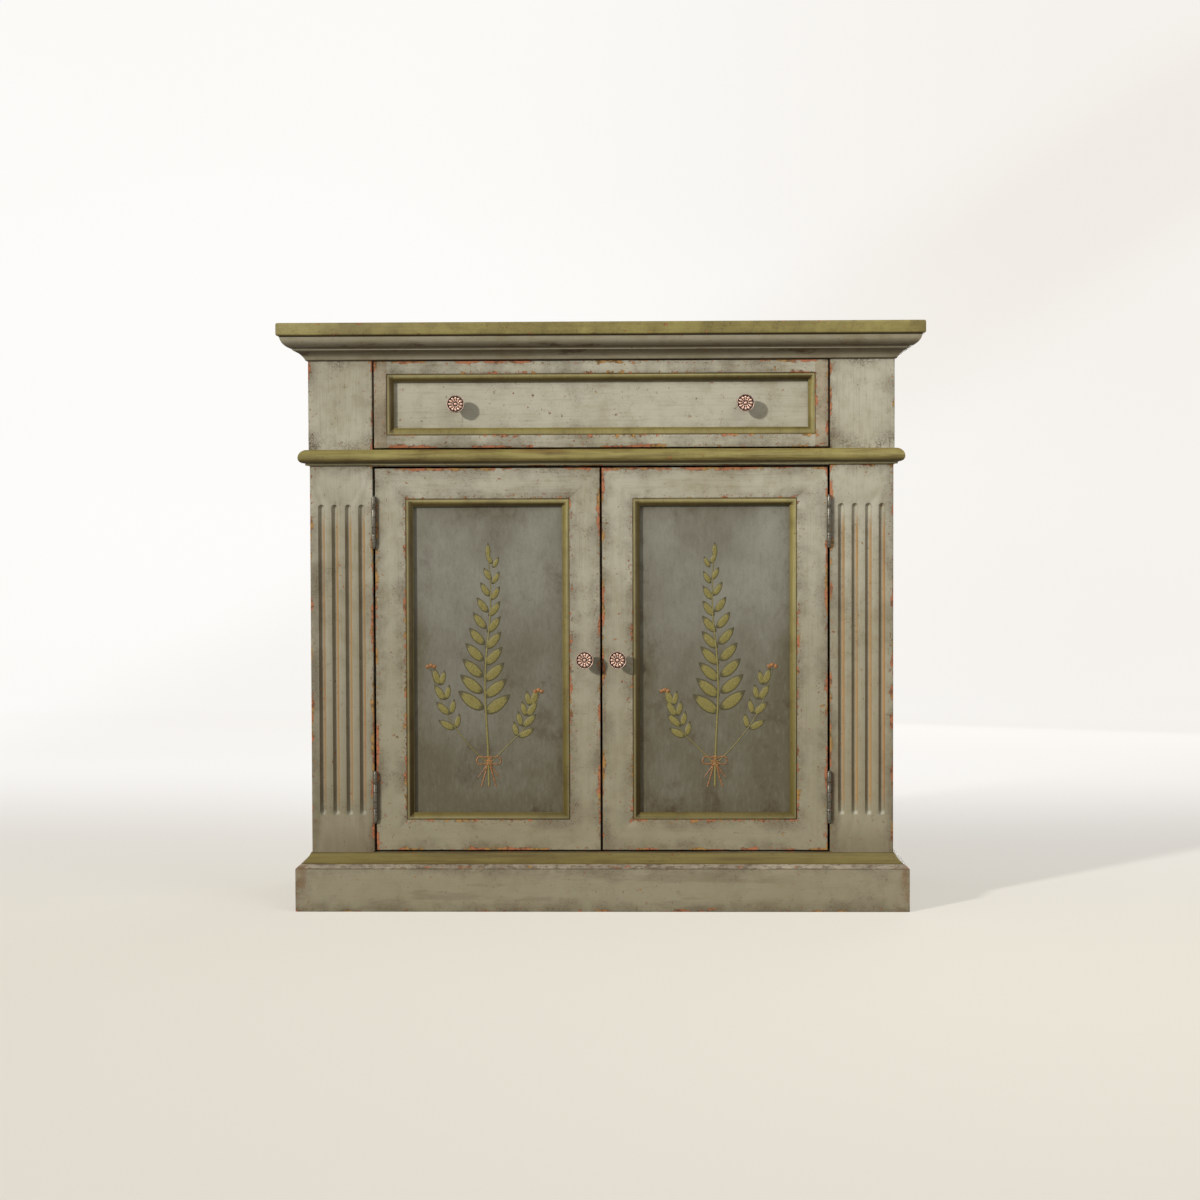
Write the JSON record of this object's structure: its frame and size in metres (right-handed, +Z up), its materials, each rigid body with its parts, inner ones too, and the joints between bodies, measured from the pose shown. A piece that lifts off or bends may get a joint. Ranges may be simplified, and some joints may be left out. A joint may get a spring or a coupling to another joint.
{
  "type": "sideboard",
  "caption": "Painted sideboard with a full-width drawer over a pair of panelled doors between fluted pilasters, on a moulded plinth.",
  "frame": {"origin": "on the floor, under the middle of the tabletop, which is the widest and deepest piece", "axes": "+X to the right seen from the front, +Y from the front to the back, +Z up; the front faces -Y"},
  "size_m": [1, 0.405, 0.915],
  "materials": {
    "body_paint": "aged matt greige-green paint with chipped, worn edges",
    "top_paint": "olive green paint, rubbed along the edges",
    "olive_paint": "olive green paint with dark glaze in the quirks",
    "cornice_paint": "greige-green paint with dark glaze in the hollows",
    "plinth_paint": "aged greige-green paint with a pale worn lip",
    "panel_paint": "brushed slate grey paint",
    "inside_wood": "plain oiled softwood",
    "plywood": "plain plywood",
    "knob_metal": "antique copper with dark recesses",
    "hinge_metal": "aged pewter-coloured steel",
    "plain_steel": "zinc-plated steel",
    "catch_plastic": "brown moulded plastic"
  },
  "bodies": {
    "case": {"back_panel": "plywood", "back_rail": "inside_wood", "belt_front": "olive_paint", "belt_left": "olive_paint", "belt_right": "olive_paint", "bottom_panel": "inside_wood", "bottom_rail": "body_paint", "cap_front": "olive_paint", "cap_left": "olive_paint", "cap_right": "olive_paint", "cornice_front": "cornice_paint", "cornice_left": "cornice_paint", "cornice_right": "cornice_paint", "door_catches": "catch_plastic", "drawer_guide_left": "inside_wood", "drawer_guide_right": "inside_wood", "dust_panel": "inside_wood", "frieze_block_left": "body_paint", "frieze_block_right": "body_paint", "hinge_case_leaves": "hinge_metal", "hinge_pins": "hinge_metal", "middle_rail": "body_paint", "pilaster_left": "body_paint", "pilaster_right": "body_paint", "plinth_front": "plinth_paint", "plinth_left": "plinth_paint", "plinth_right": "plinth_paint", "shelf": "inside_wood", "shelf_cleats": "inside_wood", "side_panel_left": "body_paint", "side_panel_right": "body_paint", "tabletop": "top_paint", "top_rail": "body_paint"},
    "drawer": {"drawer_back": "inside_wood", "drawer_bottom": "plywood", "drawer_box_front": "inside_wood", "drawer_front": "body_paint", "drawer_knob_left": "knob_metal", "drawer_knob_right": "knob_metal", "drawer_moulding": "olive_paint", "drawer_side_left": "inside_wood", "drawer_side_right": "inside_wood"},
    "door_left": {"door_left_hinge_leaves": "hinge_metal", "door_left_knob": "knob_metal", "door_left_moulding": "olive_paint", "door_left_panel": "panel_paint", "door_left_rail_bottom": "body_paint", "door_left_rail_top": "body_paint", "door_left_stile_hinge": "body_paint", "door_left_stile_meeting": "body_paint", "door_left_strike": "plain_steel"},
    "door_right": {"door_right_hinge_leaves": "hinge_metal", "door_right_knob": "knob_metal", "door_right_moulding": "olive_paint", "door_right_panel": "panel_paint", "door_right_rail_bottom": "body_paint", "door_right_rail_top": "body_paint", "door_right_stile_hinge": "body_paint", "door_right_stile_meeting": "body_paint", "door_right_strike": "plain_steel"}
  },
  "joints": [
    {"name": "drawer_slide", "type": "slide", "parent": "case", "child": "drawer", "axis": [0, -1, 0], "range_m": [0, 0.24]},
    {"name": "door_left_swing", "type": "hinge", "parent": "case", "child": "door_left", "pos_m": [-0.3548, -0.1625, 0.39], "axis": [0, 0, -1], "range_deg": [0, 170]},
    {"name": "door_right_swing", "type": "hinge", "parent": "case", "child": "door_right", "pos_m": [0.3548, -0.1625, 0.39], "axis": [0, 0, 1], "range_deg": [0, 170]}
  ]
}
